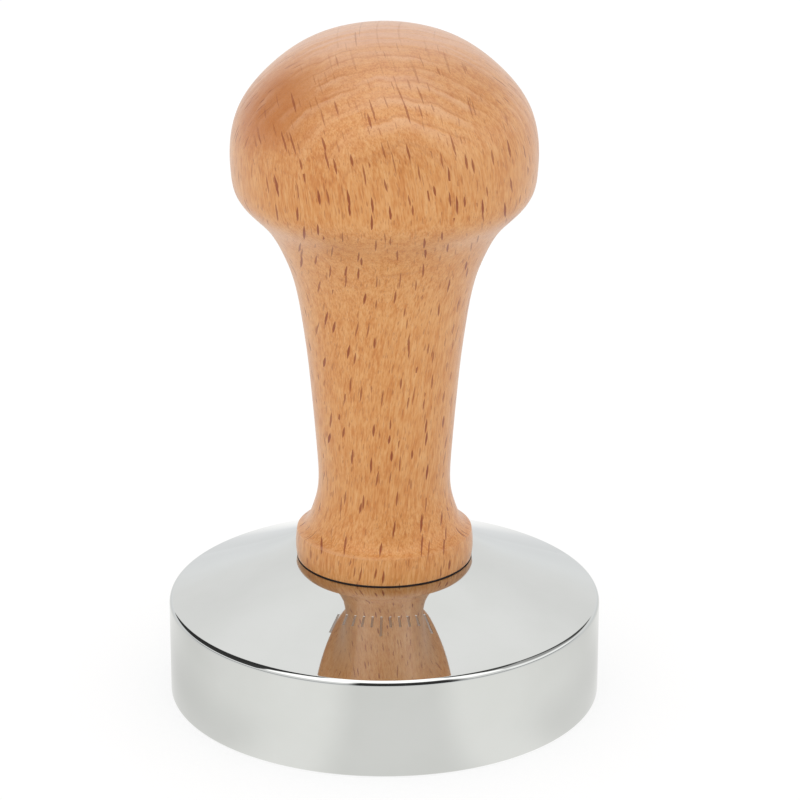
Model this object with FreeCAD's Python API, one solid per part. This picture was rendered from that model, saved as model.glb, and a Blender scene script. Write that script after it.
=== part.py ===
import FreeCAD, Part
import math
import os

V = FreeCAD.Vector
os.makedirs("parts", exist_ok=True)

# Espresso tamper: a turned metal puck with a turned beech handle screwed to it.
# Millimetres. The origin is the centre of the flat tamping face, +Z runs up the
# axis through the handle.

# ---------------------------------------------------------------- dimensions
base_r = 28.75            # radius of the tamping face's wall, for a 58 mm basket
base_bottom_round = 0.35  # broken edge round the tamping face
rim_z = 13.36             # height where the cone starts, just inside the rim
rim_r = 28.20             # radius there
seat_r = 12.0             # flat seat in the middle of the cone
seat_z = 18.94            # height of the seat
seat_blend = 1.55         # how fast the seat rolls into the cone
hole_depth = 14.8         # depth of the drilled hole below the seat
thread_depth = 13.4       # depth of its thread

washer_t = 0.12           # thin dark washer under the handle's foot
washer_r = 11.62
washer_hole_r = 4.20

foot_z = seat_z + washer_t
foot_r = 11.70            # straight band at the bottom of the handle
foot_band_top = 22.35     # height of the fine edge line above the band

thread_pitch = 1.25       # M8 coarse
stud_root_r = 3.20
stud_crest_r = 3.93
stud_ridge_mid = 0.505    # axial width of the ridge at the pitch radius
hole_minor_r = 3.375
hole_major_r = 4.05
hole_groove_mid = 0.705   # axial width of the groove at the pitch radius
pitch_r = 3.594
stud_below = 12.0         # length of stud below the seat
stud_len = 25.0           # M8 x 25
hex_af = 4.0              # hex socket in the stud's lower end
hex_depth = 3.0

insert_len = 15.0         # screw-in insert in the handle's foot
insert_recess = 0.30      # how far it sits above the foot's face
insert_core_r = 5.00
insert_flight_r = 5.90    # outer radius of its wood thread
insert_pitch = 2.50

pocket_r = 5.05           # bore in the handle that takes the insert
pocket_depth = 17.0

# handle outline above the foot, radius and height
handle_line = [
    (11.02, 23.12), (10.42, 23.68), (9.92, 24.58), (9.42, 25.96), (8.98, 27.51),
    (8.72, 29.50), (8.81, 33.00), (9.11, 37.00), (9.54, 42.00),
    (10.03, 47.00), (10.70, 52.02), (11.38, 56.03), (12.21, 59.07),
    (13.26, 61.62), (14.35, 63.73), (15.88, 65.76), (17.80, 67.67),
    (19.19, 69.69), (19.67, 72.20), (19.76, 74.99), (19.44, 77.75),
    (18.56, 80.42), (17.02, 82.86), (15.02, 85.05), (12.66, 87.06),
    (9.90, 88.76), (6.76, 89.95), (3.44, 90.68), (0.0, 90.92)]


# ------------------------------------------------------------------- helpers
def revolve(edges):
    """Solid of revolution about Z from a closed outline in the XZ plane."""
    face = Part.Face(Part.Wire(Part.__sortEdges__(edges)))
    solid = face.revolve(V(0, 0, 0), V(0, 0, 1), 360)
    return solid


def line(p, q):
    return Part.LineSegment(V(p[0], 0, p[1]), V(q[0], 0, q[1])).toShape()


def arc(p, m, q):
    return Part.Arc(V(p[0], 0, p[1]), V(m[0], 0, m[1]), V(q[0], 0, q[1])).toShape()


def polyline(points):
    return [line(points[i], points[i + 1]) for i in range(len(points) - 1)]


def fair_curve(points, t0=None, t1=None, step=1.2):
    """Natural cubic through the points, by chord length, sampled about every
    step millimetres. t0 and t1 are unit end directions, where given."""
    n = len(points)
    u = [0.0]
    for i in range(1, n):
        u.append(u[-1] + math.hypot(points[i][0] - points[i - 1][0], points[i][1] - points[i - 1][1]))
    h = [u[i + 1] - u[i] for i in range(n - 1)]
    second = []
    for k in (0, 1):
        y = [p[k] for p in points]
        a, b, c, d = [0.0] * n, [0.0] * n, [0.0] * n, [0.0] * n
        for i in range(1, n - 1):
            a[i], b[i], c[i] = h[i - 1], 2 * (h[i - 1] + h[i]), h[i]
            d[i] = 6 * ((y[i + 1] - y[i]) / h[i] - (y[i] - y[i - 1]) / h[i - 1])
        if t0 is None:
            b[0] = 1.0
        else:
            b[0], c[0] = 2 * h[0], h[0]
            d[0] = 6 * ((y[1] - y[0]) / h[0] - t0[k])
        if t1 is None:
            b[-1] = 1.0
        else:
            a[-1], b[-1] = h[-1], 2 * h[-1]
            d[-1] = 6 * (t1[k] - (y[-1] - y[-2]) / h[-1])
        for i in range(1, n):
            w = a[i] / b[i - 1]
            b[i] -= w * c[i - 1]
            d[i] -= w * d[i - 1]
        m = [0.0] * n
        m[-1] = d[-1] / b[-1]
        for i in range(n - 2, -1, -1):
            m[i] = (d[i] - c[i] * m[i + 1]) / b[i]
        second.append(m)
    out = []
    for i in range(n - 1):
        count = max(1, int(math.ceil(h[i] / step)))
        for j in range(count):
            x = h[i] * j / count
            v = []
            for k in (0, 1):
                y0, y1 = points[i][k], points[i + 1][k]
                m0, m1 = second[k][i], second[k][i + 1]
                v.append((m0 * (h[i] - x) ** 3 + m1 * x ** 3) / (6 * h[i])
                         + (y0 / h[i] - m0 * h[i] / 6) * (h[i] - x) + (y1 / h[i] - m1 * h[i] / 6) * x)
            out.append(tuple(v))
    out.append(tuple(points[-1]))
    return out


def unit(t):
    length = math.hypot(t[0], t[1])
    return (t[0] / length, t[1] / length)


def spline(points, t0=None, t1=None):
    curve = Part.BSplineCurve()
    curve.interpolate([V(p[0], 0, p[1]) for p in fair_curve(points, t0 and unit(t0), t1 and unit(t1))])
    return curve.toShape()


def ring(r_out, r_in, z0, z1):
    outer = Part.makeCylinder(r_out, z1 - z0, V(0, 0, z0))
    if r_in <= 0:
        return outer
    return outer.cut(Part.makeCylinder(r_in, z1 - z0 + 2, V(0, 0, z0 - 1)))


def helical_bars(r_in, r_out, mid_r, mid_width, half_angle, pitch, z0, turns):
    """Trapezoidal bar wound as a right-hand helix about Z, as one solid per
    turn. Its section has the given axial width at mid_r, with flanks at
    half_angle."""
    t = math.tan(math.radians(half_angle))
    w_in = mid_width / 2 + (mid_r - r_in) * t
    w_out = max(mid_width / 2 + (mid_r - r_out) * t, 0.02)
    section = Part.makePolygon([V(r_in, 0, -w_in), V(r_out, 0, -w_out),
                                V(r_out, 0, w_out), V(r_in, 0, w_in),
                                V(r_in, 0, -w_in)])
    one = Part.Wire(Part.makeHelix(pitch, pitch, mid_r).Edges).makePipeShell([section], True, True)
    bars = []
    for i in range(turns):
        bar = one.copy()
        bar.translate(V(0, 0, z0 + i * pitch))
        bars.append(bar)
    return bars


def cut_all(shape, tools):
    for tool in tools:
        shape = shape.cut(tool)
    return shape


def fuse_all(shape, tools):
    for tool in tools:
        shape = shape.fuse(tool)
    return shape


def save(shape, name):
    shape.exportStep("parts/" + name + ".step")
    print(name, "solids", len(shape.Solids), "valid", shape.isValid(),
          "volume", round(shape.Volume, 2))


# ---------------------------------------------------------------------- base
def cone_height(r):
    # the flat seat rolls smoothly into a cone
    def drop(x):
        return (x - seat_r) - seat_blend * (1 - math.exp(-(x - seat_r) / seat_blend))
    return seat_z - drop(r) * (seat_z - rim_z) / drop(rim_r)


cone_slope = ((seat_z - rim_z) * (1 - math.exp(-(rim_r - seat_r) / seat_blend))
              / ((rim_r - seat_r) - seat_blend * (1 - math.exp(-(rim_r - seat_r) / seat_blend))))
cone_points = [(r, cone_height(r)) for r in (seat_r, 12.5, 13.1, 13.8, 14.6, 15.6, 17.0, 19.0, 21.5, 24.8, rim_r)]
cone_start = (1.0, 0.0)
cone_end = (1.0, -cone_slope)

# the wall and the cone meet in a round that is tangent to both
rim_tangent = (base_r - rim_r) * math.hypot(1.0, cone_slope)
rim_turn = math.pi / 2 - math.atan(cone_slope)
rim_round = rim_tangent / math.tan(rim_turn / 2)
wall_top = rim_z - (base_r - rim_r) * cone_slope - rim_tangent
rim_mid = (base_r - rim_round * (1 - math.cos(rim_turn / 2)), wall_top + rim_round * math.sin(rim_turn / 2))
base_outline = polyline([(0, 0), (base_r - base_bottom_round, 0)])
c45 = base_bottom_round * (1 - math.sqrt(0.5))
base_outline.append(arc((base_r - base_bottom_round, 0), (base_r - c45, c45), (base_r, base_bottom_round)))
base_outline.append(line((base_r, base_bottom_round), (base_r, wall_top)))
base_outline.append(arc((base_r, wall_top), rim_mid, (rim_r, rim_z)))
base_outline.append(spline(cone_points, cone_start, cone_end))
base_outline += polyline([(seat_r, seat_z), (0, seat_z), (0, 0)])
base = revolve(base_outline)

# tapped blind hole: drilled hole with a 118 degree point, a countersink, and
# the groove of an M8 thread
drill_point = hole_minor_r * math.tan(math.radians(31))
z_drill = seat_z - hole_depth
hole = revolve(polyline([(0, z_drill - drill_point), (hole_minor_r, z_drill),
                         (hole_minor_r, seat_z - 0.85), (hole_minor_r + 1.0, seat_z + 0.15),
                         (hole_minor_r + 1.0, seat_z + 2), (0, seat_z + 2),
                         (0, z_drill - drill_point)]))
groove_turns = math.ceil((thread_depth + 1.0) / thread_pitch)
groove_z0 = seat_z + 1.0 - groove_turns * thread_pitch
groove = helical_bars(hole_minor_r - 0.12, hole_major_r, pitch_r, hole_groove_mid, 30,
                     thread_pitch, groove_z0, groove_turns)
base = cut_all(base.cut(hole), groove)
save(base, "base")

# -------------------------------------------------------------------- washer
washer = ring(washer_r, washer_hole_r, seat_z, seat_z + washer_t)
save(washer, "washer")

# ---------------------------------------------------------------------- stud
# M8 x 25 with a hex socket in its lower end and a chamfer on both ends
stud_z0 = seat_z - stud_below
stud_z1 = stud_z0 + stud_len
ch = 0.75
core = revolve(polyline([(0, stud_z0), (stud_root_r - 0.15, stud_z0), (stud_root_r, stud_z0 + 0.15),
                         (stud_root_r, stud_z1 - 0.15), (stud_root_r - 0.15, stud_z1),
                         (0, stud_z1), (0, stud_z0)]))
# the ridge keeps its phase with the groove: both helices pass the same height
# at the same angle
ridge_turns = math.floor((stud_len - 1.3) / thread_pitch)
ridge_z0 = groove_z0 + thread_pitch * math.ceil((stud_z0 + 0.62 - groove_z0) / thread_pitch)
while ridge_z0 + ridge_turns * thread_pitch > stud_z1 - 0.62:
    ridge_turns -= 1
ridge = helical_bars(stud_root_r - 0.12, stud_crest_r, pitch_r, stud_ridge_mid, 30,
                    thread_pitch, ridge_z0, ridge_turns)
stud = fuse_all(core, ridge)
socket_r = hex_af / 2 / math.cos(math.radians(30))
hexagon = Part.Face(Part.makePolygon([V(socket_r * math.cos(math.radians(60 * i)),
                                        socket_r * math.sin(math.radians(60 * i)), stud_z0)
                                      for i in range(7)]))
stud = stud.cut(hexagon.extrude(V(0, 0, hex_depth)))
save(stud, "stud")

# -------------------------------------------------------------------- insert
# screw-in sleeve: coarse wood thread outside, M8 thread inside
ins_z0 = foot_z + insert_recess
ins_z1 = ins_z0 + insert_len
sleeve = revolve(polyline([(0, ins_z0), (insert_core_r - 0.3, ins_z0), (insert_core_r, ins_z0 + 0.3),
                           (insert_core_r, ins_z1 - 0.8), (insert_core_r - 0.8, ins_z1),
                           (0, ins_z1), (0, ins_z0)]))
flight_turns = math.floor((insert_len - 3.0) / insert_pitch)
flight = helical_bars(insert_core_r - 0.15, insert_flight_r, insert_core_r, 0.95, 25,
                     insert_pitch, ins_z0 + 1.2, flight_turns)
insert = fuse_all(sleeve, flight)
bore = revolve(polyline([(0, ins_z0 - 1), (hole_minor_r + 1.15, ins_z0 - 1), (hole_minor_r + 1.15, ins_z0),
                         (hole_minor_r, ins_z0 + 1.0), (hole_minor_r, ins_z1 - 0.7),
                         (hole_minor_r + 0.8, ins_z1), (hole_minor_r + 0.8, ins_z1 + 1),
                         (0, ins_z1 + 1), (0, ins_z0 - 1)]))
inner_z0 = groove_z0 + thread_pitch * math.floor((ins_z0 - 1.0 - groove_z0) / thread_pitch)
inner_turns = math.ceil((ins_z1 + 1.0 - inner_z0) / thread_pitch)
inner_groove = helical_bars(hole_minor_r - 0.12, hole_major_r, pitch_r, hole_groove_mid, 30,
                           thread_pitch, inner_z0, inner_turns)
insert = cut_all(insert.cut(bore), inner_groove)
save(insert, "insert")

# -------------------------------------------------------------------- handle
shoulder = [(11.58, 22.80)] + handle_line
outline = []
outline += polyline([(pocket_r, foot_z), (foot_r - 0.23, foot_z), (foot_r - 0.08, foot_z + 0.15)])
outline.append(arc((foot_r - 0.08, foot_z + 0.15), (foot_r + 0.06, 21.2), (11.58, 22.80)))
outline.append(spline(shoulder, (-0.80, 0.60), (-1.0, 0.0)))
pocket_top = foot_z + pocket_depth
tip = pocket_r * math.tan(math.radians(31))
outline += polyline([(0, handle_line[-1][1]), (0, pocket_top + tip), (pocket_r, pocket_top), (pocket_r, foot_z)])
handle = revolve(outline)
save(handle, "handle")
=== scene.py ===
import math
import random

import bmesh
import bpy
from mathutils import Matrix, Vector


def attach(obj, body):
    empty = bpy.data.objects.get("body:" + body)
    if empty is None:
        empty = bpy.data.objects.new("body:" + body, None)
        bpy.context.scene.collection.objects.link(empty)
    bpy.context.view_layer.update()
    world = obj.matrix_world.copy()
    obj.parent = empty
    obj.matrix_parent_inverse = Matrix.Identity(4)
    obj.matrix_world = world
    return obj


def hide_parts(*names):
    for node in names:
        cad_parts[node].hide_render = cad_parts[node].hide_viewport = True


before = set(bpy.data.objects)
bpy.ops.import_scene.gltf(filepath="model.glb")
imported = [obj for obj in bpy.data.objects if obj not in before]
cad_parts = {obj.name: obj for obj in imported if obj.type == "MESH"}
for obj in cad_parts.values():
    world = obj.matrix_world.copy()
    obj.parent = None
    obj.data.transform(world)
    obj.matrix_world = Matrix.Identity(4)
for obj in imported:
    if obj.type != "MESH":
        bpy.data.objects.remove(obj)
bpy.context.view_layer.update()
MM = 0.001
scene = bpy.context.scene

# Dimensions in millimetres, the same as the design's.
BASE_R, RIM_R, RIM_Z = 28.75, 28.20, 13.36
SEAT_R, SEAT_Z, SEAT_BLEND = 12.0, 18.94, 1.55
HOLE_DEPTH, THREAD_DEPTH = 14.8, 13.4
PITCH, PITCH_R = 1.25, 3.594
HOLE_MINOR, HOLE_MAJOR = 3.375, 4.05
STUD_ROOT, STUD_CREST = 3.20, 3.93
STUD_Z0, STUD_Z1 = SEAT_Z - 12.0, SEAT_Z + 13.0
GROOVE_Z0 = SEAT_Z + 1.0 - 12 * PITCH
FOOT_Z = SEAT_Z + 0.12
FOOT_R = 11.70
# the round between the wall and the cone, tangent to both
RIM_SLOPE = ((SEAT_Z - RIM_Z) * (1 - math.exp(-(RIM_R - SEAT_R) / SEAT_BLEND))
             / ((RIM_R - SEAT_R) - SEAT_BLEND * (1 - math.exp(-(RIM_R - SEAT_R) / SEAT_BLEND))))
RIM_TANGENT = (BASE_R - RIM_R) * math.hypot(1.0, RIM_SLOPE)
RIM_TURN = math.pi / 2 - math.atan(RIM_SLOPE)
RIM_ROUND = RIM_TANGENT / math.tan(RIM_TURN / 2)
WALL_TOP = RIM_Z - (BASE_R - RIM_R) * RIM_SLOPE - RIM_TANGENT


# ------------------------------------------------------------------ mesh code
def new_object(name, verts, faces, smooth=True, sharp_deg=None):
    mesh = bpy.data.meshes.new(name)
    mesh.from_pydata([(x * MM, y * MM, z * MM) for x, y, z in verts], [], faces)
    bm = bmesh.new()
    bm.from_mesh(mesh)
    bmesh.ops.remove_doubles(bm, verts=bm.verts, dist=1e-8)
    bmesh.ops.recalc_face_normals(bm, faces=bm.faces)
    if sharp_deg is not None:
        limit = math.radians(sharp_deg)
        for e in bm.edges:
            if len(e.link_faces) == 2 and e.calc_face_angle(0) > limit:
                e.smooth = False
    for f in bm.faces:
        f.smooth = smooth
    bm.to_mesh(mesh)
    bm.free()
    obj = bpy.data.objects.new(name, mesh)
    scene.collection.objects.link(obj)
    return obj


def cubic(points, t0=None, t1=None, step=1.0):
    """The natural cubic through the points that the design uses, sampled."""
    n = len(points)
    u = [0.0]
    for i in range(1, n):
        u.append(u[-1] + math.hypot(points[i][0] - points[i - 1][0], points[i][1] - points[i - 1][1]))
    h = [u[i + 1] - u[i] for i in range(n - 1)]
    second = []
    for k in (0, 1):
        y = [p[k] for p in points]
        a, b, c, d = [0.0] * n, [0.0] * n, [0.0] * n, [0.0] * n
        for i in range(1, n - 1):
            a[i], b[i], c[i] = h[i - 1], 2 * (h[i - 1] + h[i]), h[i]
            d[i] = 6 * ((y[i + 1] - y[i]) / h[i] - (y[i] - y[i - 1]) / h[i - 1])
        if t0 is None:
            b[0] = 1.0
        else:
            b[0], c[0] = 2 * h[0], h[0]
            d[0] = 6 * ((y[1] - y[0]) / h[0] - t0[k])
        if t1 is None:
            b[-1] = 1.0
        else:
            a[-1], b[-1] = h[-1], 2 * h[-1]
            d[-1] = 6 * (t1[k] - (y[-1] - y[-2]) / h[-1])
        for i in range(1, n):
            w = a[i] / b[i - 1]
            b[i] -= w * c[i - 1]
            d[i] -= w * d[i - 1]
        m = [0.0] * n
        m[-1] = d[-1] / b[-1]
        for i in range(n - 2, -1, -1):
            m[i] = (d[i] - c[i] * m[i + 1]) / b[i]
        second.append(m)
    out = []
    for i in range(n - 1):
        count = max(1, int(math.ceil(h[i] / step)))
        for j in range(count):
            x = h[i] * j / count
            v = []
            for k in (0, 1):
                y0, y1 = points[i][k], points[i + 1][k]
                m0, m1 = second[k][i], second[k][i + 1]
                v.append((m0 * (h[i] - x) ** 3 + m1 * x ** 3) / (6 * h[i])
                         + (y0 / h[i] - m0 * h[i] / 6) * (h[i] - x) + (y1 / h[i] - m1 * h[i] / 6) * x)
            out.append(tuple(v))
    out.append(tuple(points[-1]))
    return out


def unit(x, z):
    length = math.hypot(x, z)
    return (x / length, z / length)


def arc3(p, m, q, n):
    """Points on the circle through p, m and q, from p to q."""
    ax, ay, bx, by, cx, cy = *p, *m, *q
    d = 2 * (ax * (by - cy) + bx * (cy - ay) + cx * (ay - by))
    ux = ((ax * ax + ay * ay) * (by - cy) + (bx * bx + by * by) * (cy - ay) + (cx * cx + cy * cy) * (ay - by)) / d
    uy = ((ax * ax + ay * ay) * (cx - bx) + (bx * bx + by * by) * (ax - cx) + (cx * cx + cy * cy) * (bx - ax)) / d
    a0, am, a1 = (math.atan2(y - uy, x - ux) for x, y in (p, m, q))
    r = math.hypot(ax - ux, ay - uy)
    turn = (a1 - a0 + math.pi) % (2 * math.pi) - math.pi
    return [(ux + r * math.cos(a0 + turn * i / n), uy + r * math.sin(a0 + turn * i / n)) for i in range(n + 1)]


def lathe(rows, angles):
    """Closed skin from rows of (radius function or number, height). A row with
    radius 0 closes to a point."""
    verts, faces, index = [], [], []
    n = len(angles)
    for r, z in rows:
        if not callable(r) and r <= 1e-9:
            index.append([len(verts)] * n)
            verts.append((0.0, 0.0, z))
            continue
        start = len(verts)
        for a in angles:
            rr = r(a) if callable(r) else r
            verts.append((rr * math.cos(a), rr * math.sin(a), z))
        index.append(list(range(start, start + n)))
    for k in range(len(rows) - 1):
        lo, hi = index[k], index[k + 1]
        for i in range(n):
            j = (i + 1) % n
            quad = [lo[i], lo[j], hi[j], hi[i]]
            face = []
            for v in quad:
                if v not in face:
                    face.append(v)
            if len(face) > 2:
                faces.append(face)
    return verts, faces


def ring_angles(n):
    return [2 * math.pi * i / n for i in range(n)]


def thread_radius(z, a, root, crest, mid_width, z_ref, lo, hi, inside=False):
    """Radius of a right-hand M8 thread's surface at height z and angle a, for
    an outside thread, or an inside one. It fades to the root between lo and hi."""
    if z < lo or z > hi:
        return root
    phase = ((z - z_ref) / PITCH - a / (2 * math.pi)) % 1.0
    off = abs(phase if phase < 0.5 else 1.0 - phase) * PITCH
    t = math.tan(math.radians(30))
    r = PITCH_R + (mid_width / 2 - off) / t
    if inside:
        return min(max(r, root), crest)
    return min(max(r, root), crest)


def steps(a, b, step):
    n = max(1, int(math.ceil(abs(b - a) / step)))
    return [a + (b - a) * i / n for i in range(n + 1)]


# ----------------------------------------------------------------- base piece
def cone_height(r):
    def drop(x):
        return (x - SEAT_R) - SEAT_BLEND * (1 - math.exp(-(x - SEAT_R) / SEAT_BLEND))
    return SEAT_Z - drop(r) * (SEAT_Z - RIM_Z) / drop(RIM_R)


# a plain row of short engraved strokes on the cone, in place of the size mark
STROKE_MID = -1.2          # degrees off the -Y direction
STROKE_STEP = 3.65
STROKE_HALF = 0.12         # mm
STROKES = []
for k in range(11):
    length = 3.3 if k % 5 == 0 else 1.8
    STROKES.append((math.radians(-90 + STROKE_MID + (k - 5) * STROKE_STEP), 17.6, 17.6 + length))
STROKE_DEPTH = 0.025


def base_angles():
    out = set()
    for i in range(300):
        out.add(round(2 * math.pi * i / 300, 9))
    lo = STROKES[0][0] - math.radians(1.6)
    hi = STROKES[-1][0] + math.radians(1.6)
    out = {a for a in out if not lo <= a - 2 * math.pi <= hi}
    half = STROKE_HALF / 18.5
    edge = 0.03 / 18.5
    for mid, r0, r1 in STROKES:
        for off in (-half - edge, -half, -half / 3, half / 3, half, half + edge):
            out.add(round(mid + off + 2 * math.pi, 9))
        for f in (0.28, 0.5, 0.72):
            out.add(round(mid + math.radians(STROKE_STEP * f) + 2 * math.pi, 9))
    return sorted(a % (2 * math.pi) for a in out)


def make_base():
    angles = base_angles()
    rows = [(0.0, 0.0)]
    for r in steps(4.0, BASE_R - 0.35 - 0.6, 4.0):
        rows.append((r, 0.0))
    c = 0.35 * (1 - math.sqrt(0.5))
    rows += arc3((BASE_R - 0.35, 0.0), (BASE_R - c, c), (BASE_R, 0.35), 6)
    for z in steps(0.8, WALL_TOP - 0.35, 2.0):
        rows.append((BASE_R, z))
    mid = (BASE_R - RIM_ROUND * (1 - math.cos(RIM_TURN / 2)), WALL_TOP + RIM_ROUND * math.sin(RIM_TURN / 2))
    rows += arc3((BASE_R, WALL_TOP), mid, (RIM_R, RIM_Z), 20)
    radii = set(round(r, 4) for r in steps(SEAT_R + 0.12, 16.0, 0.16)) | set(round(r, 4) for r in steps(16.4, RIM_R - 0.2, 0.4))
    edge = 0.03
    stroke_rows = set()
    for _, r0, r1 in STROKES:
        for r in (r0 - edge, r0, r1, r1 + edge):
            stroke_rows.add(round(r, 4))
    radii = {r for r in radii if all(abs(r - s) > 0.09 for s in stroke_rows)} | stroke_rows
    cone = [(r, cone_height(r)) for r in sorted(radii, reverse=True)]
    rows += cone
    rows += [(SEAT_R, SEAT_Z), (SEAT_R - 0.3, SEAT_Z), (8.0, SEAT_Z), (HOLE_MINOR + 0.85 + 0.3, SEAT_Z)]
    # countersink, then the thread
    z_drill = SEAT_Z - HOLE_DEPTH

    def hole_row(z):
        sink = HOLE_MINOR + max(0.0, (z - (SEAT_Z - 0.85)))

        def radius(a):
            r = thread_radius(z, a, HOLE_MINOR, HOLE_MAJOR, 0.705, GROOVE_Z0, GROOVE_Z0, SEAT_Z + 1, True)
            return max(r, sink)
        return (radius, z)
    rows.append((HOLE_MINOR + 0.85, SEAT_Z))
    for z in steps(SEAT_Z - 0.07, z_drill + 0.9, PITCH / 18):
        rows.append(hole_row(z))
    rows += [(HOLE_MINOR, z_drill), (0.0, z_drill - HOLE_MINOR * math.tan(math.radians(31)))]
    verts, faces = lathe(rows, angles)
    # press the strokes in
    etched = set()
    for i, (x, y, z) in enumerate(verts):
        r = math.hypot(x, y)
        if not 17.0 < r < 22.0 or abs(z - cone_height(r)) > 1e-4:
            continue
        a = math.atan2(y, x)
        for mid_a, r0, r1 in STROKES:
            if abs(a - mid_a) <= STROKE_HALF / 18.5 + 1e-5 and r0 - 1e-3 <= r <= r1 + 1e-3:
                verts[i] = (x, y, z - STROKE_DEPTH)
                etched.add(i)
    flags = [(v[0] * MM, v[1] * MM) for k, v in enumerate(verts) if k in etched]
    obj = new_object("tamper_base", verts, faces, sharp_deg=13)
    attr = obj.data.attributes.new("etch", "FLOAT", "POINT")
    keys = {(round(x, 7), round(y, 7)) for x, y in flags}
    values = []
    for v in obj.data.vertices:
        hit = (round(v.co.x, 7), round(v.co.y, 7)) in keys and v.co.z > 0.013
        values.append(1.0 if hit else 0.0)
    attr.data.foreach_set("value", values)
    return obj


base = make_base()
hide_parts("base")
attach(base, "base_body")


# --------------------------------------------------------------- handle piece
HANDLE_LINE = [
    (11.58, 22.80),
    (11.02, 23.12), (10.42, 23.68), (9.92, 24.58), (9.42, 25.96), (8.98, 27.51),
    (8.72, 29.50), (8.81, 33.00), (9.11, 37.00), (9.54, 42.00),
    (10.03, 47.00), (10.70, 52.02), (11.38, 56.03), (12.21, 59.07),
    (13.26, 61.62), (14.35, 63.73), (15.88, 65.76), (17.80, 67.67),
    (19.19, 69.69), (19.67, 72.20), (19.76, 74.99), (19.44, 77.75),
    (18.56, 80.42), (17.02, 82.86), (15.02, 85.05), (12.66, 87.06),
    (9.90, 88.76), (6.76, 89.95), (3.44, 90.68), (0.0, 90.92)]
POCKET_R, POCKET_DEPTH = 5.05, 17.0


def make_handle():
    rows = [(POCKET_R, FOOT_Z), (6.5, FOOT_Z), (9.5, FOOT_Z), (FOOT_R - 0.23, FOOT_Z)]
    rows += arc3((FOOT_R - 0.23, FOOT_Z), (FOOT_R - 0.12, FOOT_Z + 0.04), (FOOT_R - 0.08, FOOT_Z + 0.15), 4)[1:]
    rows += arc3((FOOT_R - 0.08, FOOT_Z + 0.15), (FOOT_R + 0.06, 21.2), (11.58, 22.80), 16)[1:]
    line = cubic(HANDLE_LINE, unit(-0.80, 0.60), (-1.0, 0.0), 0.4)
    rows += line[1:-1]
    rows.append((0.0, HANDLE_LINE[-1][1]))
    top = FOOT_Z + POCKET_DEPTH
    rows += [(0.0, top + POCKET_R * math.tan(math.radians(31)))]
    rows += [(POCKET_R, z) for z in steps(top, FOOT_Z, 2.0)]
    verts, faces = lathe(rows, ring_angles(220))
    return new_object("tamper_handle", verts, faces, sharp_deg=26)


handle = make_handle()
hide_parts("handle")
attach(handle, "handle_body")


# --------------------------------------------------------------- washer piece
def make_washer():
    r_out, r_in, z0, z1 = 11.62, 4.20, SEAT_Z, FOOT_Z
    rows = [(r_in, z0 + 0.02), (r_in + 0.02, z0), (7.5, z0), (r_out - 0.03, z0), (r_out, z0 + 0.03),
            (r_out, z1 - 0.03), (r_out - 0.03, z1), (7.5, z1), (r_in + 0.02, z1), (r_in, z1 - 0.02), (r_in, z0 + 0.02)]
    verts, faces = lathe(rows, ring_angles(180))
    return new_object("tamper_washer", verts, faces, sharp_deg=35)


washer = make_washer()
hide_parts("washer")
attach(washer, "washer_body")


# ----------------------------------------------------------------- stud piece
def make_stud():
    n = 96
    angles = ring_angles(n)
    apothem = 2.0

    def hexa(a):
        return apothem / math.cos((a % (math.pi / 3)) - math.pi / 6)

    depth = 3.0
    rows = [(0.0, STUD_Z0 + depth + 0.9), (lambda a: hexa(a) * 0.98, STUD_Z0 + depth),
            (hexa, STUD_Z0 + depth - 0.02), (hexa, STUD_Z0 + 1.5), (hexa, STUD_Z0 + 0.15),
            (lambda a: hexa(a) + 0.12, STUD_Z0)]
    lo, hi = STUD_Z0, STUD_Z1

    def outer(z):
        limit = min(STUD_ROOT - 0.05 + (z - lo), STUD_ROOT - 0.05 + (hi - z))

        def radius(a):
            r = thread_radius(z, a, STUD_ROOT, STUD_CREST, 0.505, GROOVE_Z0, lo - 1, hi + 1)
            return min(r, max(limit, STUD_ROOT - 0.3))
        return (radius, z)
    for z in steps(lo, hi, PITCH / 18):
        rows.append(outer(z))
    rows += [(1.6, hi), (0.0, hi)]
    verts, faces = lathe(rows, angles)
    return new_object("tamper_stud", verts, faces, sharp_deg=38)


stud = make_stud()
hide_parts("stud")
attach(stud, "handle_body")


# --------------------------------------------------------------- insert piece
def make_insert():
    z0, z1 = FOOT_Z + 0.30, FOOT_Z + 15.30
    n = 96
    angles = ring_angles(n)

    def inner(z):
        sink = max(HOLE_MINOR + 1.15 - (z - z0), HOLE_MINOR + 0.8 - (z1 - z) * 1.15)

        def radius(a):
            r = thread_radius(z, a, HOLE_MINOR, HOLE_MAJOR, 0.705, GROOVE_Z0, z0 - 1, z1 + 1, True)
            return max(r, sink)
        return (radius, z)

    def outer(z):
        core = min(5.0, 4.7 + (z - z0), 4.2 + (z1 - z))

        def radius(a):
            if z < z0 + 0.8 or z > z1 - 1.9:
                return core
            phase = ((z - z0 - 1.2) / 2.5 - a / (2 * math.pi)) % 1.0
            off = abs(phase if phase < 0.5 else 1.0 - phase) * 2.5
            fade = min(1.0, (z - z0 - 0.8) / 0.8, (z1 - 1.9 - z) / 0.8)
            r = 5.0 + (0.475 - off) / math.tan(math.radians(25))
            return max(core, min(r, 5.0 + 0.9 * fade))
        return (radius, z)
    rows = [inner(z) for z in steps(z1, z0, PITCH / 14)]
    rows += [outer(z) for z in steps(z0, z1, 0.09)]
    rows.append(inner(z1))
    verts, faces = lathe(rows, angles)
    return new_object("tamper_insert", verts, faces, sharp_deg=38)


insert = make_insert()
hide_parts("insert")
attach(insert, "handle_body")


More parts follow.
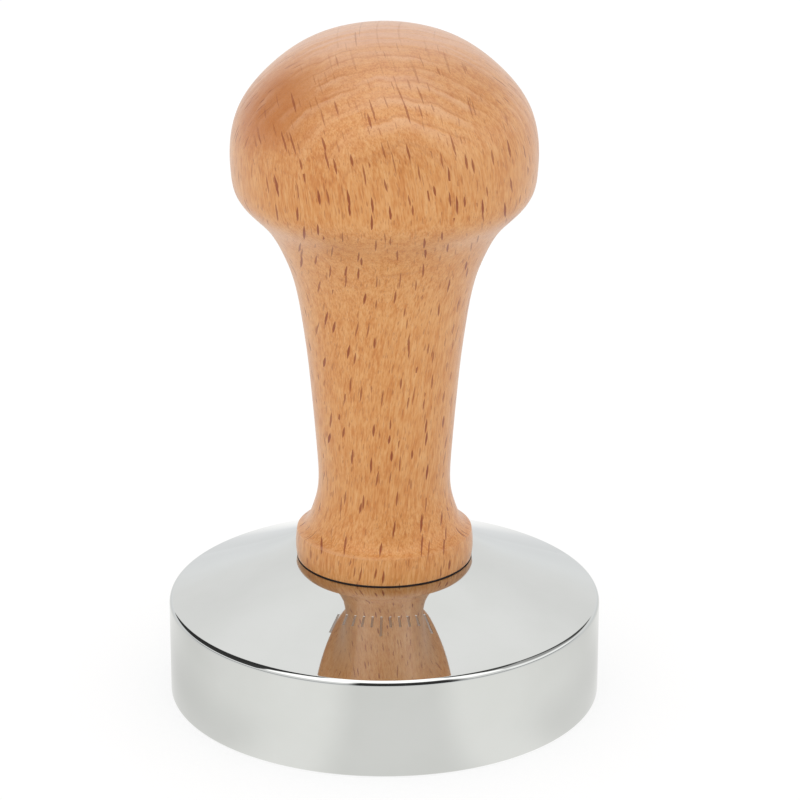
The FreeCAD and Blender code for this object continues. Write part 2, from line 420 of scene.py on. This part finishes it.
# ------------------------------------------------------------------ materials
class Nodes:
    """Short hand for building a node material."""

    def __init__(self, name):
        self.mat = bpy.data.materials.new(name)
        self.mat.use_nodes = True
        self.tree = self.mat.node_tree
        self.tree.nodes.clear()
        self.out = self.tree.nodes.new("ShaderNodeOutputMaterial")
        self.bsdf = self.tree.nodes.new("ShaderNodeBsdfPrincipled")
        self.link(self.bsdf.outputs[0], self.out.inputs["Surface"])

    def link(self, a, b):
        self.tree.links.new(a, b)

    def put(self, value, socket):
        if isinstance(value, bpy.types.NodeSocket):
            self.link(value, socket)
        else:
            socket.default_value = value

    def math(self, op, a, b=None, c=None, clamp=False):
        n = self.tree.nodes.new("ShaderNodeMath")
        n.operation = op
        n.use_clamp = clamp
        for i, v in enumerate((a, b, c)):
            if v is not None:
                self.put(v, n.inputs[i])
        return n.outputs[0]

    def vmath(self, op, a, b=None, scale=None):
        n = self.tree.nodes.new("ShaderNodeVectorMath")
        n.operation = op
        self.put(a, n.inputs[0])
        if b is not None:
            self.put(b, n.inputs[1])
        if scale is not None:
            self.put(scale, n.inputs["Scale"])
        return n.outputs["Value" if op in ("LENGTH", "DOT_PRODUCT", "DISTANCE") else "Vector"]

    def coords(self):
        """Object coordinates in millimetres."""
        tc = self.tree.nodes.new("ShaderNodeTexCoord")
        return self.vmath("SCALE", tc.outputs["Object"], scale=1000.0)

    def split(self, v):
        n = self.tree.nodes.new("ShaderNodeSeparateXYZ")
        self.link(v, n.inputs[0])
        return n.outputs[0], n.outputs[1], n.outputs[2]

    def join(self, x, y, z):
        n = self.tree.nodes.new("ShaderNodeCombineXYZ")
        for v, s in zip((x, y, z), n.inputs):
            self.put(v, s)
        return n.outputs[0]

    def noise(self, v, scale=1.0, detail=2.0, rough=0.5, distort=0.0, colour=False):
        n = self.tree.nodes.new("ShaderNodeTexNoise")
        n.noise_dimensions = "3D"
        self.link(v, n.inputs["Vector"])
        n.inputs["Scale"].default_value = scale
        n.inputs["Detail"].default_value = detail
        n.inputs["Roughness"].default_value = rough
        n.inputs["Distortion"].default_value = distort
        return n.outputs["Color" if colour else "Fac"]

    def voronoi(self, v, randomness=1.0):
        n = self.tree.nodes.new("ShaderNodeTexVoronoi")
        n.voronoi_dimensions = "3D"
        n.feature = "F1"
        self.link(v, n.inputs["Vector"])
        n.inputs["Scale"].default_value = 1.0
        n.inputs["Randomness"].default_value = randomness
        return n.outputs["Position"], n.outputs["Color"]

    def remap(self, v, a, b, c=0.0, d=1.0, smooth=False):
        n = self.tree.nodes.new("ShaderNodeMapRange")
        n.interpolation_type = "SMOOTHSTEP" if smooth else "LINEAR"
        n.clamp = True
        self.put(v, n.inputs["Value"])
        for key, val in (("From Min", a), ("From Max", b), ("To Min", c), ("To Max", d)):
            n.inputs[key].default_value = val
        return n.outputs["Result"]

    def mix(self, fac, a, b, blend="MIX"):
        n = self.tree.nodes.new("ShaderNodeMix")
        n.data_type = "RGBA"
        n.blend_type = blend
        n.clamp_factor = True
        self.put(fac, n.inputs["Factor"])
        rgba = [s for s in n.inputs if s.type == "RGBA"]
        for v, s in zip((a, b), rgba):
            self.put(v if isinstance(v, bpy.types.NodeSocket) else (*v, 1.0), s)
        return [s for s in n.outputs if s.type == "RGBA"][0]

    def ramp(self, v, stops):
        n = self.tree.nodes.new("ShaderNodeValToRGB")
        self.link(v, n.inputs[0])
        el = n.color_ramp.elements
        el[0].position, el[0].color = stops[0][0], (*stops[0][1], 1.0)
        el[1].position, el[1].color = stops[-1][0], (*stops[-1][1], 1.0)
        for pos, col in stops[1:-1]:
            e = el.new(pos)
            e.color = (*col, 1.0)
        return n.outputs["Color"]

    def bump(self, height, strength, distance, normal=None):
        n = self.tree.nodes.new("ShaderNodeBump")
        n.inputs["Strength"].default_value = strength
        n.inputs["Distance"].default_value = distance
        self.link(height, n.inputs["Height"])
        if normal is not None:
            self.link(normal, n.inputs["Normal"])
        return n.outputs[0]

    def attribute(self, name):
        n = self.tree.nodes.new("ShaderNodeAttribute")
        n.attribute_name = name
        return n.outputs["Fac"]


def srgb(r, g, b):
    """8-bit display colour to linear."""
    return tuple(((c / 255) / 12.92) if c <= 10.31 else (((c / 255) + 0.055) / 1.055) ** 2.4 for c in (r, g, b))


def beech():
    m = Nodes("beech")
    p = m.coords()
    x, y, z = m.split(p)

    # slow bending of the grain: it leans one way in the neck, the other in the knob
    sway = m.noise(m.join(m.math("MULTIPLY", x, 0.03), m.math("MULTIPLY", y, 0.03), m.math("MULTIPLY", z, 0.022)),
                   1.0, 1.0, 0.4, colour=True)
    sx, sy, sz = m.split(sway)
    zc = m.math("SUBTRACT", z, 66.0)
    up = m.math("MAXIMUM", zc, 0.0)
    lean = m.math("ADD", m.math("MULTIPLY", zc, -0.095), m.math("MULTIPLY", m.math("MULTIPLY", up, up), 0.0125))
    xg = m.math("ADD", m.math("ADD", x, lean), m.math("MULTIPLY", m.math("SUBTRACT", sx, 0.5), 3.0))

    # growth rings: shells round a pith well behind the handle, warped
    warp = m.math("MULTIPLY", m.math("SUBTRACT", sy, 0.5), 7.0)
    fine_warp = m.math("MULTIPLY", m.math("SUBTRACT", m.noise(m.join(m.math("MULTIPLY", x, 0.16),
                       m.math("MULTIPLY", y, 0.16), m.math("MULTIPLY", z, 0.09)), 1.0, 3.0, 0.6), 0.5), 2.4)
    rx = m.math("ADD", xg, 6.0)
    ry = m.math("SUBTRACT", y, 58.0)
    ring_r = m.math("SQRT", m.math("ADD", m.math("MULTIPLY", rx, rx), m.math("MULTIPLY", ry, ry)))
    ring_r = m.math("ADD", m.math("ADD", ring_r, warp), fine_warp)
    # seen across the end grain on the crown they are clear, along it they are faint
    crown = m.remap(z, 70.0, 84.0, 0.0, 1.0, True)
    top = m.remap(z, 82.0, 90.0, 0.0, 1.0, True)
    under = m.math("MULTIPLY", m.remap(z, 57.0, 61.0, 0.0, 1.0, True), m.remap(z, 63.0, 67.0, 1.0, 0.0, True))
    patchy = m.remap(m.noise(m.join(m.math("MULTIPLY", x, 0.10), m.math("MULTIPLY", y, 0.10),
                                    m.math("MULTIPLY", z, 0.08)), 1.0, 2.0, 0.5), 0.42, 0.62, 0.0, 1.0, True)
    cycle = m.math("FRACT", m.math("DIVIDE", ring_r, 1.9))
    saw = m.math("POWER", cycle, 2.5)
    ring_line = m.math("MULTIPLY", m.remap(cycle, 0.80, 0.95, 0.0, 1.0, True), m.remap(cycle, 0.97, 1.0, 1.0, 0.0))
    pale_line = m.math("MULTIPLY", m.remap(cycle, 0.0, 0.10, 0.0, 1.0, True), m.remap(cycle, 0.12, 0.60, 1.0, 0.0, True))
    band = m.noise(m.join(m.math("MULTIPLY", ring_r, 0.85), m.math("MULTIPLY", xg, 0.05),
                          m.math("MULTIPLY", z, 0.03)), 1.0, 4.0, 0.62)

    # short rays: dark spindle-shaped dashes where the skin cuts across them
    def dashes(cell_x, cell_z, half_w, half_l, seed, keep, y_scale, wide=None, deep=None):
        wide = xg if wide is None else wide
        deep = y if deep is None else deep
        q = m.join(m.math("ADD", m.math("DIVIDE", wide, cell_x), seed),
                   m.math("DIVIDE", deep, y_scale),
                   m.math("ADD", m.math("DIVIDE", z, cell_z), seed * 1.7))
        pos, col = m.voronoi(q, 0.82)
        qx, qy, qz = m.split(q)
        px, py, pz = m.split(pos)
        c1, c2, c3 = m.split(col)
        dx = m.math("MULTIPLY", m.math("SUBTRACT", qx, px), cell_x)
        dz = m.math("MULTIPLY", m.math("SUBTRACT", qz, pz), cell_z)
        # each dash has its own length, width and small tilt
        dx = m.math("ADD", dx, m.math("MULTIPLY", dz, m.remap(c3, 0.0, 1.0, -0.06, 0.06)))
        dx = m.math("ADD", dx, m.math("MULTIPLY", m.math("SUBTRACT", wobble, 0.5), 0.16))
        length = m.remap(c1, 0.0, 1.0, half_l * 0.62, half_l * 1.2)
        width = m.remap(c2, 0.0, 1.0, half_w * 0.70, half_w * 1.20)
        t = m.math("DIVIDE", dz, length)
        edge = m.math("ADD", m.math("DIVIDE", m.math("ABSOLUTE", dx), width), m.math("MULTIPLY", t, t))
        mask = m.remap(edge, 0.72, 1.12, 1.0, 0.0, True)
        present = m.remap(c3, keep - 0.03, keep + 0.03, 1.0, 0.0)
        tone = m.remap(c2, 0.0, 1.0, 0.66, 1.0)
        return m.math("MULTIPLY", m.math("MULTIPLY", mask, present), tone)

    wobble = m.noise(m.join(m.math("MULTIPLY", x, 0.8), m.math("MULTIPLY", y, 0.3), m.math("MULTIPLY", z, 1.1)), 1.0, 2.0, 0.5)
    rays = m.math("MAXIMUM", dashes(3.2, 4.9, 0.150, 1.15, 3.1, 0.95, 24.0),
                  dashes(3.8, 5.6, 0.140, 1.25, 17.3, 0.95, 24.0))
    faint = m.math("MAXIMUM", dashes(2.4, 3.9, 0.11, 0.7, 11.7, 0.80, 18.0),
                   dashes(1.5, 2.6, 0.085, 0.45, 29.9, 0.55, 16.0))
    # on the two flanks the skin runs along those rays, and other, softer ones show
    reach = m.math("SQRT", m.math("ADD", m.math("MULTIPLY", x, x), m.math("MULTIPLY", y, y)))
    flank = m.math("DIVIDE", m.math("ABSOLUTE", x), m.math("MAXIMUM", reach, 1.0))
    flank = m.math("ADD", flank, m.math("MULTIPLY", m.math("SUBTRACT", wobble, 0.5), 0.06))
    flank = m.math("MULTIPLY", m.remap(flank, 0.80, 0.88, 0.0, 1.0, True), m.remap(reach, 5.0, 8.0, 0.0, 1.0, True))
    yg = m.math("ADD", y, m.math("ADD", lean, m.math("MULTIPLY", m.math("SUBTRACT", sz, 0.5), 3.0)))
    soft_rays = m.math("MAXIMUM", dashes(2.9, 4.6, 0.145, 1.05, 43.1, 0.90, 24.0, yg, x),
                       dashes(1.9, 3.2, 0.10, 0.6, 57.7, 0.70, 18.0, yg, x))
    front = m.math("SUBTRACT", 1.0, flank)
    rays = m.math("ADD", m.math("MULTIPLY", rays, front), m.math("MULTIPLY", soft_rays, m.math("MULTIPLY", flank, 0.85)))
    faint = m.math("MULTIPLY", faint, front)

    # fibres and pores along the grain
    streak = m.noise(m.join(m.math("MULTIPLY", xg, 1.5), m.math("MULTIPLY", y, 1.5), m.math("MULTIPLY", z, 0.15)), 1.0, 3.0, 0.6)
    fibre = m.noise(m.join(m.math("MULTIPLY", xg, 4.6), m.math("MULTIPLY", y, 4.6), m.math("MULTIPLY", z, 0.50)), 1.0, 2.0, 0.6)
    pore = m.noise(m.join(m.math("MULTIPLY", xg, 7.5), m.math("MULTIPLY", y, 7.5), m.math("MULTIPLY", z, 1.0)), 1.0, 1.0, 0.5)
    cloud = m.noise(m.join(m.math("MULTIPLY", xg, 0.10), m.math("MULTIPLY", y, 0.10), m.math("MULTIPLY", z, 0.06)), 1.0, 3.0, 0.55)
    mottle = m.noise(m.join(m.math("MULTIPLY", x, 0.55), m.math("MULTIPLY", y, 0.55), m.math("MULTIPLY", z, 0.7)), 1.0, 2.0, 0.5)

    def centred(v, amount):
        return m.math("MULTIPLY", m.math("SUBTRACT", v, 0.5), amount)
    tone = m.math("ADD", 0.46, centred(cloud, 0.34))
    tone = m.math("ADD", tone, m.math("MULTIPLY", m.math("SUBTRACT", band, 0.5), m.remap(z, 68.0, 82.0, 0.03, 0.30, True)))
    tone = m.math("ADD", tone, centred(streak, 0.62))
    tone = m.math("ADD", tone, centred(fibre, 0.90))
    tone = m.math("ADD", tone, centred(mottle, 0.26))
    tone = m.math("SUBTRACT", tone, m.math("MULTIPLY", m.math("MULTIPLY", saw, crown), 0.05))
    colour = m.ramp(tone, [
        (0.10, srgb(191, 114, 51)),
        (0.30, srgb(206, 134, 68)),
        (0.46, srgb(216, 151, 87)),
        (0.62, srgb(223, 163, 102)),
        (0.85, srgb(230, 178, 121))])
    # a redder, deeper patch in the shoulder of the knob, and a painted reflection of the light above: the crown is
    # painted paler and pinker
    offx, offy, offz = m.math("ADD", x, 14.5), m.math("ADD", y, 8.5), m.math("SUBTRACT", z, 82.0)
    offz = m.math("MAXIMUM", offz, m.math("MULTIPLY", offz, -1.7))
    far = m.math("SQRT", m.math("ADD", m.math("ADD", m.math("MULTIPLY", offx, offx), m.math("MULTIPLY", offy, offy)),
                                m.math("MULTIPLY", offz, offz)))
    far = m.math("ADD", far, centred(mottle, 3.0))
    patch = m.remap(far, 3.0, 12.0, 0.78, 0.0, True)
    colour = m.mix(patch, colour, srgb(188, 110, 46))
    # painted highlight: the top of the knob is painted pale pink, mottled by the grain bands, in place of the sheen of
    # the light above
    crown_painted_sheen = m.math("MULTIPLY", m.math("ADD", m.math("MULTIPLY", top, 0.55), m.math("MULTIPLY", crown, 0.12)), m.remap(band, 0.40, 0.66, 0.35, 1.0, True))
    crown_painted_sheen = m.math("MULTIPLY", crown_painted_sheen, m.math("SUBTRACT", 1.0, patch))
    colour = m.mix(crown_painted_sheen, colour, srgb(220, 173, 146))
    line_amount = m.math("ADD", m.math("MULTIPLY", crown, 0.32), m.math("MULTIPLY", under, 0.30))
    line_amount = m.math("MULTIPLY", line_amount, m.remap(patchy, 0.0, 1.0, 0.3, 1.0))
    colour = m.mix(m.math("MULTIPLY", ring_line, line_amount), colour, srgb(181, 112, 66))
    colour = m.mix(m.math("MULTIPLY", pale_line, m.math("MULTIPLY", patchy, m.remap(z, 77.0, 84.0, 0.0, 0.34, True))), colour, srgb(230, 186, 152))
    dark_pore = m.remap(pore, 0.59, 0.72, 0.0, 0.50, True)
    colour = m.mix(dark_pore, colour, srgb(176, 112, 68))
    colour = m.mix(m.math("MULTIPLY", faint, 0.46), colour, srgb(152, 76, 26))
    ray_amount = m.math("MULTIPLY", rays, m.math("MULTIPLY", m.remap(z, 72.0, 85.0, 0.92, 0.66), m.remap(z, 85.5, 89.0, 1.0, 0.22)))
    colour = m.mix(ray_amount, colour, srgb(138, 56, 10))
    # the crisp turned edge of the foot is painted paler: partly rubbed wear, partly a painted highlight along the edge
    edge_z = m.math("ABSOLUTE", m.math("SUBTRACT", m.math("ADD", z, centred(mottle, 0.25)), 22.84))
    edge_rub_and_highlight = m.math("MULTIPLY", m.remap(edge_z, 0.05, 0.22, 1.0, 0.0, True), m.remap(patchy, 0.0, 1.0, 0.35, 0.85))
    colour = m.mix(m.math("MULTIPLY", edge_rub_and_highlight, 0.30), colour, srgb(232, 184, 142))
    m.link(colour, m.bsdf.inputs["Base Color"])

    rough = m.math("ADD", m.remap(fibre, 0.3, 0.7, 0.38, 0.47), m.math("MULTIPLY", rays, 0.10))
    m.link(rough, m.bsdf.inputs["Roughness"])
    height = m.math("ADD", centred(fibre, 0.5), centred(streak, 0.5))
    height = m.math("SUBTRACT", height, m.math("MULTIPLY", rays, 0.5))
    height = m.math("SUBTRACT", height, m.math("MULTIPLY", dark_pore, 1.2))
    m.link(m.bump(height, 0.40, 0.00006), m.bsdf.inputs["Normal"])
    m.bsdf.inputs["Specular IOR Level"].default_value = 0.38
    m.bsdf.inputs["Coat Weight"].default_value = 0.22
    m.bsdf.inputs["Sheen Weight"].default_value = 0.34
    m.bsdf.inputs["Sheen Roughness"].default_value = 0.40
    m.bsdf.inputs["Coat Roughness"].default_value = 0.22
    return m.mat


def chrome():
    m = Nodes("polished_chrome")
    p = m.coords()
    x, y, z = m.split(p)
    radius = m.math("SQRT", m.math("ADD", m.math("MULTIPLY", x, x), m.math("MULTIPLY", y, y)))
    # faint lathe lines under the polish, and slow haze
    turn = m.noise(m.join(m.math("MULTIPLY", radius, 6.0), 0.0, m.math("MULTIPLY", z, 6.0)), 1.0, 2.0, 0.6)
    haze = m.noise(p, 0.11, 3.0, 0.55)
    etch = m.attribute("etch")
    base_col = m.mix(m.remap(haze, 0.3, 0.7, 0.0, 1.0, True), (0.594, 0.603, 0.586), (0.612, 0.620, 0.606))
    base_col = m.mix(m.math("MULTIPLY", etch, 0.55), base_col, (0.27, 0.25, 0.23))
    m.link(base_col, m.bsdf.inputs["Base Color"])
    m.bsdf.inputs["Metallic"].default_value = 1.0
    rough = m.math("ADD", m.remap(haze, 0.3, 0.7, 0.014, 0.032), m.math("MULTIPLY", m.math("SUBTRACT", turn, 0.5), 0.012))
    rough = m.math("ADD", rough, m.math("MULTIPLY", etch, 0.30))
    m.link(rough, m.bsdf.inputs["Roughness"])
    m.link(m.bump(turn, 0.02, 0.00001), m.bsdf.inputs["Normal"])
    return m.mat


def washer_fibre():
    m = Nodes("black_fibre")
    p = m.coords()
    grain = m.noise(p, 3.0, 3.0, 0.6)
    m.link(m.mix(grain, srgb(26, 15, 12), srgb(46, 30, 26)), m.bsdf.inputs["Base Color"])
    m.link(m.remap(grain, 0.3, 0.7, 0.55, 0.75), m.bsdf.inputs["Roughness"])
    m.link(m.bump(grain, 0.3, 0.00003), m.bsdf.inputs["Normal"])
    return m.mat


def zinc():
    m = Nodes("zinc_steel")
    p = m.coords()
    x, y, z = m.split(p)
    cloud = m.noise(p, 0.8, 4.0, 0.6)
    drawn = m.noise(m.join(m.math("MULTIPLY", x, 2.0), m.math("MULTIPLY", y, 2.0), m.math("MULTIPLY", z, 12.0)), 1.0, 2.0, 0.5)
    m.link(m.mix(cloud, (0.50, 0.51, 0.53), (0.66, 0.66, 0.65)), m.bsdf.inputs["Base Color"])
    m.bsdf.inputs["Metallic"].default_value = 1.0
    m.link(m.math("ADD", m.remap(cloud, 0.3, 0.7, 0.24, 0.36), m.math("MULTIPLY", m.math("SUBTRACT", drawn, 0.5), 0.08)),
           m.bsdf.inputs["Roughness"])
    m.link(m.bump(drawn, 0.12, 0.00002), m.bsdf.inputs["Normal"])
    return m.mat


def insert_brass():
    m = Nodes("insert_brass")
    p = m.coords()
    cloud = m.noise(p, 0.6, 4.0, 0.6)
    m.link(m.mix(cloud, (0.60, 0.40, 0.16), (0.78, 0.58, 0.28)), m.bsdf.inputs["Base Color"])
    m.bsdf.inputs["Metallic"].default_value = 1.0
    m.link(m.remap(cloud, 0.3, 0.7, 0.26, 0.40), m.bsdf.inputs["Roughness"])
    m.link(m.bump(m.noise(p, 6.0, 2.0, 0.5), 0.1, 0.00002), m.bsdf.inputs["Normal"])
    return m.mat


def dress(obj, mat):
    obj.data.materials.clear()
    obj.data.materials.append(mat)


wood_mat, chrome_mat = beech(), chrome()
washer_mat, zinc_mat, brass_mat = washer_fibre(), zinc(), insert_brass()
for piece, node, mat in ((base, "base", chrome_mat), (handle, "handle", wood_mat), (washer, "washer", washer_mat),
                         (stud, "stud", zinc_mat), (insert, "insert", brass_mat)):
    dress(piece, mat)
    dress_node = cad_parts[node]
    for slot in range(len(dress_node.material_slots)):
        dress_node.material_slots[slot].material = mat


# ---------------------------------------------------------------------- stage
def stage():
    size = 4.0
    mesh = bpy.data.meshes.new("floor")
    mesh.from_pydata([(-size, -size, 0), (size, -size, 0), (size, size, 0), (-size, size, 0)], [], [(0, 1, 2, 3)])
    floor = bpy.data.objects.new("floor", mesh)
    floor.location = (0, 0, -0.00002)
    scene.collection.objects.link(floor)

    # The floor is a pale sweep. Its light on the object is softer than its own white, and polished metal sees it
    # in broad soft bands, with a painted contact shadow at its sides close to the puck.
    m = Nodes("pale_floor")
    m.bsdf.inputs["Base Color"].default_value = (0.30, 0.30, 0.30, 1)
    m.bsdf.inputs["Roughness"].default_value = 0.9
    m.bsdf.inputs["Specular IOR Level"].default_value = 0.0
    m.bsdf.inputs["Emission Color"].default_value = (1, 1, 1, 1)
    path = m.tree.nodes.new("ShaderNodeLightPath")
    diffuse_ray = path.outputs["Is Diffuse Ray"]
    m.link(m.math("SUBTRACT", 0.73, m.math("MULTIPLY", diffuse_ray, FLOOR_DROP)), m.bsdf.inputs["Emission Strength"])
    x, y, z = m.split(m.coords())
    across = m.math("ABSOLUTE", m.math("SUBTRACT", m.math("ARCTAN2", x, m.math("MULTIPLY", y, -1.0)), math.radians(4)))
    away = m.math("SQRT", m.math("ADD", m.math("MULTIPLY", x, x), m.math("MULTIPLY", y, y)))
    deg = math.radians
    rise = m.remap(across, deg(13), deg(27), 0.985, 1.15, True)
    fall = m.math("MULTIPLY", m.remap(across, deg(38), deg(66), 1.0, 0.935, True), m.remap(across, deg(60), deg(100), 1.0, 0.86, True))
    fall = m.math("MULTIPLY", fall, m.remap(across, deg(150), deg(172), 1.0, 1.2, True))
    # painted shadow: at the sides, close to the puck, the floor that the metal reflects is painted darker, as a
    # contact shadow
    painted_contact_shadow = m.math("MULTIPLY", m.remap(across, deg(34), deg(56), 0.0, 0.12, True), m.remap(away, 31.0, 44.0, 1.0, 0.0, True))
    near = m.math("MULTIPLY", m.math("MULTIPLY", rise, fall), m.math("SUBTRACT", 1.0, painted_contact_shadow))
    open_floor = m.remap(away, 150.0, 1500.0, 0.895, 0.945, True)
    amount = m.remap(away, 60.0, 130.0, 0.0, 1.0, True)
    level = m.math("ADD", m.math("MULTIPLY", near, m.math("SUBTRACT", 1.0, amount)), m.math("MULTIPLY", open_floor, amount))
    seen = m.tree.nodes.new("ShaderNodeEmission")
    m.link(m.mix(amount, (1.0, 1.0, 0.985), (0.985, 1.0, 1.015)), seen.inputs["Color"])
    m.link(level, seen.inputs["Strength"])
    mixer = m.tree.nodes.new("ShaderNodeMixShader")
    m.link(path.outputs["Is Glossy Ray"], mixer.inputs[0])
    m.link(m.bsdf.outputs[0], mixer.inputs[1])
    m.link(seen.outputs[0], mixer.inputs[2])
    m.link(mixer.outputs[0], m.out.inputs["Surface"])
    floor.data.materials.append(m.mat)

    world = bpy.data.worlds.new("studio")
    scene.world = world
    world.use_nodes = True
    t = world.node_tree
    t.nodes.clear()
    out = t.nodes.new("ShaderNodeOutputWorld")
    bg = t.nodes.new("ShaderNodeBackground")
    t.links.new(bg.outputs[0], out.inputs[0])
    tc = t.nodes.new("ShaderNodeTexCoord")
    sep = t.nodes.new("ShaderNodeSeparateXYZ")
    t.links.new(tc.outputs["Generated"], sep.inputs[0])
    lp = t.nodes.new("ShaderNodeLightPath")

    def mathn(op, a, b=None, clamp=False):
        n = t.nodes.new("ShaderNodeMath")
        n.operation = op
        n.use_clamp = clamp
        for i, v in enumerate((a, b)):
            if v is None:
                continue
            if isinstance(v, bpy.types.NodeSocket):
                t.links.new(v, n.inputs[i])
            else:
                n.inputs[i].default_value = v
        return n.outputs[0]

    def mapr(v, a, b, c, d):
        n = t.nodes.new("ShaderNodeMapRange")
        n.interpolation_type = "SMOOTHSTEP"
        t.links.new(v, n.inputs["Value"])
        for key, val in (("From Min", a), ("From Max", b), ("To Min", c), ("To Max", d)):
            n.inputs[key].default_value = val
        return n.outputs["Result"]

    def window(v, a, b, soft):
        return mathn("MULTIPLY", mapr(v, a - soft, a + soft, 0.0, 1.0), mapr(v, b - soft, b + soft, 1.0, 0.0))
    dx, dy, dz = sep.outputs[0], sep.outputs[1], sep.outputs[2]
    el = mathn("ARCSINE", dz)
    az = mathn("ARCTAN2", dx, dy)              # 0 behind the object, +-180 in front of it
    aside = mathn("ABSOLUTE", az)
    # what polished metal sees: white panels, a little brighter high up, a
    # bright one above the front, the dark opening low in front, and dark
    # gaps between the back panel and the side panels
    level = mathn("MULTIPLY", mapr(el, deg(22), deg(52), 1.03, 1.16), mapr(el, 0.0, deg(10), 0.91, 1.0))
    high_front = mathn("MULTIPLY", mapr(aside, deg(75), deg(110), 0.0, 1.0), mapr(el, deg(26), deg(34), 0.0, 1.0))
    overhead = mapr(el, deg(68), deg(75), 0.0, 1.0)
    level = mathn("ADD", level, mathn("MULTIPLY", mathn("MAXIMUM", high_front, overhead), 0.68))
    side_light = mathn("MULTIPLY", window(aside, deg(66), deg(112), deg(5)), window(el, deg(9), deg(34), deg(4)))
    level = mathn("ADD", level, mathn("MULTIPLY", side_light, 0.35))
    left_az = mathn("MULTIPLY", az, -1.0)
    front = mathn("MAXIMUM", mapr(left_az, deg(158), deg(167), 0.0, 1.0), mapr(az, deg(132), deg(146), 0.0, 1.0))
    opening = mathn("MULTIPLY", front, window(el, deg(-4), deg(49), deg(3)))
    skirting = mathn("MULTIPLY", mapr(aside, deg(55), deg(75), 0.0, 1.0), window(el, deg(-1), deg(6), deg(2)))

    def gap(side, low_edge, slope):
        # its far edge leans in as it goes up, its lower edge rises with it
        far_edge = mathn("SUBTRACT", mathn("SUBTRACT", deg(113), mapr(el, deg(30), deg(47), 0.0, deg(6))),
                         mapr(el, deg(47), deg(66), 0.0, deg(6)))
        near_edge = mathn("ADD", low_edge, mathn("MULTIPLY", mathn("SUBTRACT", side, deg(37)), slope))
        inside = mathn("MULTIPLY", mapr(side, deg(35), deg(38), 0.0, 1.0),
                       mapr(mathn("SUBTRACT", far_edge, side), 0.0, deg(4), 0.0, 1.0))
        above = mapr(mathn("SUBTRACT", el, near_edge), deg(-3), deg(3), 0.0, 1.0)
        return mathn("MULTIPLY", mathn("MULTIPLY", inside, above), mapr(el, deg(73), deg(77), 1.0, 0.0))
    left_gap = gap(left_az, deg(11), 0.08)
    right_gap = mathn("MULTIPLY", gap(az, deg(18), 0.2),
                      mathn("MAXIMUM", mapr(az, deg(50), deg(62), 1.0, 0.62), mapr(el, deg(50), deg(56), 0.0, 1.0)))
    dark = mathn("MAXIMUM", mathn("MAXIMUM", opening, mathn("MULTIPLY", skirting, 0.7)),
                 mathn("MAXIMUM", left_gap, mathn("MULTIPLY", right_gap, 0.96)))
    seen_level = mathn("MULTIPLY", level, mathn("SUBTRACT", 1.0, mathn("MULTIPLY", dark, 0.96)))
    # what everything else is lit by: an even tent, a little weaker overhead
    plain = mathn("SUBTRACT", mathn("ADD", TENT, mathn("MULTIPLY", dx, 0.01)), mathn("MULTIPLY", dz, 0.07))
    glossy = lp.outputs["Is Glossy Ray"]
    camera_ray = lp.outputs["Is Camera Ray"]
    lit = mathn("ADD", mathn("MULTIPLY", plain, mathn("SUBTRACT", 1.0, glossy)), mathn("MULTIPLY", seen_level, glossy))
    lit = mathn("ADD", mathn("MULTIPLY", lit, mathn("SUBTRACT", 1.0, camera_ray)), mathn("MULTIPLY", camera_ray, 1.0))
    t.links.new(lit, bg.inputs["Strength"])
    tint = t.nodes.new("ShaderNodeMix")
    tint.data_type = "RGBA"
    t.links.new(mathn("MULTIPLY", glossy, mapr(el, deg(4), deg(20), 1.0, 0.0)), tint.inputs["Factor"])
    tint_in = [s for s in tint.inputs if s.type == "RGBA"]
    tint_in[0].default_value = (1.0, 1.0, 1.0, 1.0)
    tint_in[1].default_value = (0.985, 1.0, 1.015, 1.0)
    t.links.new([s for s in tint.outputs if s.type == "RGBA"][0], bg.inputs["Color"])

    def area(name, loc, target, size, power, shape="RECTANGLE", size_y=None, glossy=True):
        data = bpy.data.lights.new(name, "AREA")
        data.shape = shape
        data.size = size
        if size_y:
            data.size_y = size_y
        data.energy = power
        obj = bpy.data.objects.new(name, data)
        obj.location = loc
        obj.rotation_euler = (Vector(target) - Vector(loc)).to_track_quat("-Z", "Y").to_euler()
        obj.visible_glossy = glossy
        scene.collection.objects.link(obj)
        return obj
    area("key", (0.40, -0.45, 0.75), (0, 0, 0.05), 0.5, 0.16, size_y=0.5, glossy=False)
    area("top", (0.05, 0.10, 0.85), (0, 0, 0.05), 0.6, 0.04, size_y=0.6, glossy=False)
    area("fill", (-0.45, -0.70, 0.14), (0, 0, 0.035), 0.4, 0.55, size_y=0.3, glossy=False)


TENT = 1.02           # brightness of the tent that lights the object
FLOOR_DROP = 0.20     # how much less than its own white the floor sends up
stage()


# --------------------------------------------------------------------- camera
def camera():
    data = bpy.data.cameras.new("camera")
    data.sensor_fit = "HORIZONTAL"
    data.sensor_width = 36.0
    data.lens = 36.0 * 3429.0 / 800.0
    data.shift_x = 15.65 / 800.0
    data.clip_start = 0.01
    data.clip_end = 20.0
    data.dof.use_dof = False
    cam = bpy.data.objects.new("camera", data)
    tilt = math.radians(20.16)
    dist = 0.450
    cam.location = (0.0, -dist * math.cos(tilt), 0.04068 + dist * math.sin(tilt))
    cam.rotation_euler = (math.radians(90) - tilt, 0.0, 0.0)
    scene.collection.objects.link(cam)
    scene.camera = cam


camera()
scene.view_settings.view_transform = "Standard"
scene.view_settings.look = "None"
scene.view_settings.exposure = 0.0
scene.view_settings.gamma = 1.0
